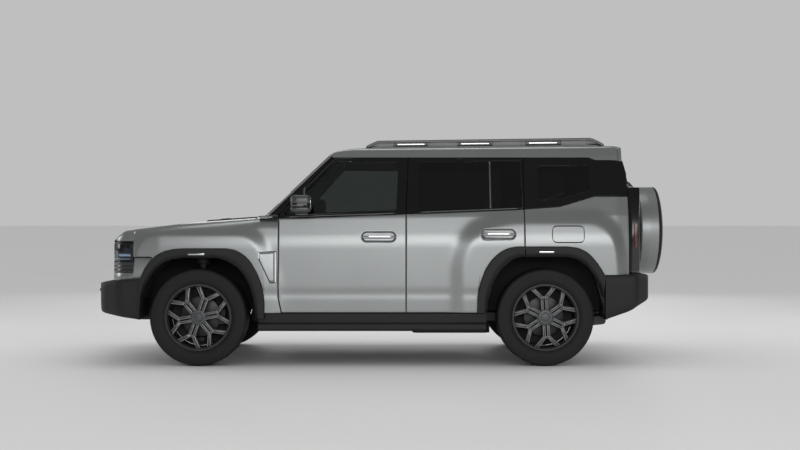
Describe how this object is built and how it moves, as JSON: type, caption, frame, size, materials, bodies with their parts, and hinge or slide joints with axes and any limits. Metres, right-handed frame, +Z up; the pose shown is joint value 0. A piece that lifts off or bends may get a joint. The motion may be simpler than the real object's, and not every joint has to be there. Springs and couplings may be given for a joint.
{
  "type": "crossover sport utility vehicle",
  "caption": "Boxy crossover with side doors, opening hood, side-hinged tailgate with covered spare wheel, and steered front wheels that turn freely.",
  "frame": {"origin": "on the ground, below the middle of the vehicle's box", "axes": "+X to the vehicle's rear, +Y to its right, +Z up; the front of the vehicle faces -X"},
  "size_m": [4.784, 2.28, 1.8617],
  "materials": {
    "frame_paint": "satin",
    "paint": "satin",
    "gloss_black": "gloss",
    "glass": "gloss",
    "cladding": "matte",
    "lamp": "gloss",
    "tail_lamp": "gloss",
    "rail": "satin",
    "interior": "matte",
    "seat": "satin",
    "steel": "matte",
    "tyre": "matte",
    "rim": "satin"
  },
  "bodies": {
    "body": {"body_frame": "frame_paint", "roof_panel": "paint", "front_fenders": "paint", "rear_quarters": "paint", "rear_pillar_covers": "gloss_black", "quarter_glass": "glass", "windscreen": "glass", "front_bumper": "cladding", "rear_bumper": "cladding", "headlamps": "lamp", "grille": "gloss_black", "tail_lamps": "tail_lamp", "arch_claddings": "cladding", "sill_claddings": "cladding", "wheelhouse_liners": "cladding", "roof_rails": "rail", "cowl": "cladding", "dashboard": "interior", "front_seats": "seat", "rear_seat": "seat", "front_suspension": "steel", "rear_suspension": "steel", "engine_block": "steel", "fuel_tank": "cladding", "exhaust": "steel"},
    "front_door_left": {"front_door_left": "paint", "front_door_glass_left": "glass", "mirror_left": "paint"},
    "rear_door_left": {"rear_door_left": "paint", "rear_door_glass_left": "glass", "rear_door_flare_left": "cladding"},
    "front_door_right": {"front_door_right": "paint", "front_door_glass_right": "glass", "mirror_right": "paint"},
    "rear_door_right": {"rear_door_right": "paint", "rear_door_glass_right": "glass", "rear_door_flare_right": "cladding"},
    "tailgate": {"tailgate": "paint", "tailgate_glass": "glass", "spare_wheel_cover": "paint"},
    "hood": {"hood": "paint"},
    "fuel_flap": {"fuel_flap": "paint"},
    "knuckle_left": {"knuckle_left": "steel"},
    "knuckle_right": {"knuckle_right": "steel"},
    "wheel_front_left": {"tyre_front_left": "tyre", "rim_front_left": "rim"},
    "wheel_front_right": {"tyre_front_right": "tyre", "rim_front_right": "rim"},
    "wheel_rear_left": {"tyre_rear_left": "tyre", "rim_rear_left": "rim"},
    "wheel_rear_right": {"tyre_rear_right": "tyre", "rim_rear_right": "rim"}
  },
  "joints": [
    {"name": "steering_left", "type": "hinge", "parent": "body", "child": "knuckle_left", "pos_m": [-1.482, -0.72814, 0.3935], "axis": [0, 0.1621, 0.9868], "range_deg": [-32, 32]},
    {"name": "steering_right", "type": "hinge", "parent": "body", "child": "knuckle_right", "pos_m": [-1.482, 0.72814, 0.3935], "axis": [0, -0.1621, 0.9868], "range_deg": [-32, 32]},
    {"name": "front_wheel_spin_left", "type": "hinge", "parent": "knuckle_left", "child": "wheel_front_left", "pos_m": [-1.482, -0.84, 0.3935], "axis": [0, 1, 0], "continuous": true},
    {"name": "rear_wheel_spin_left", "type": "hinge", "parent": "body", "child": "wheel_rear_left", "pos_m": [1.318, -0.84, 0.3935], "axis": [0, 1, 0], "continuous": true},
    {"name": "front_door_hinge_left", "type": "hinge", "parent": "body", "child": "front_door_left", "pos_m": [-0.785, -0.921, 0.83], "axis": [0, 0, -1], "range_deg": [0, 68]},
    {"name": "rear_door_hinge_left", "type": "hinge", "parent": "body", "child": "rear_door_left", "pos_m": [0.248, -0.921, 0.83], "axis": [0, 0, -1], "range_deg": [0, 72]},
    {"name": "front_wheel_spin_right", "type": "hinge", "parent": "knuckle_right", "child": "wheel_front_right", "pos_m": [-1.482, 0.84, 0.3935], "axis": [0, 1, 0], "continuous": true},
    {"name": "rear_wheel_spin_right", "type": "hinge", "parent": "body", "child": "wheel_rear_right", "pos_m": [1.318, 0.84, 0.3935], "axis": [0, 1, 0], "continuous": true},
    {"name": "front_door_hinge_right", "type": "hinge", "parent": "body", "child": "front_door_right", "pos_m": [-0.785, 0.921, 0.83], "axis": [0, 0, 1], "range_deg": [0, 68]},
    {"name": "rear_door_hinge_right", "type": "hinge", "parent": "body", "child": "rear_door_right", "pos_m": [0.248, 0.921, 0.83], "axis": [0, 0, 1], "range_deg": [0, 72]},
    {"name": "tailgate_hinge", "type": "hinge", "parent": "body", "child": "tailgate", "pos_m": [2.095, -0.712, 1.09], "axis": [0, 0, -1], "range_deg": [0, 85]},
    {"name": "hood_hinge", "type": "hinge", "parent": "body", "child": "hood", "pos_m": [-1.036, 0, 1.1925], "axis": [0, 1, 0], "range_deg": [0, 55]},
    {"name": "fuel_flap_hinge", "type": "hinge", "parent": "body", "child": "fuel_flap", "pos_m": [1.405, -0.958, 1.064], "axis": [0, 0, -1], "range_deg": [0, 95]}
  ],
  "couplings": [
    {"joint": "steering_right", "follows": "steering_left", "ratio": 1}
  ]
}
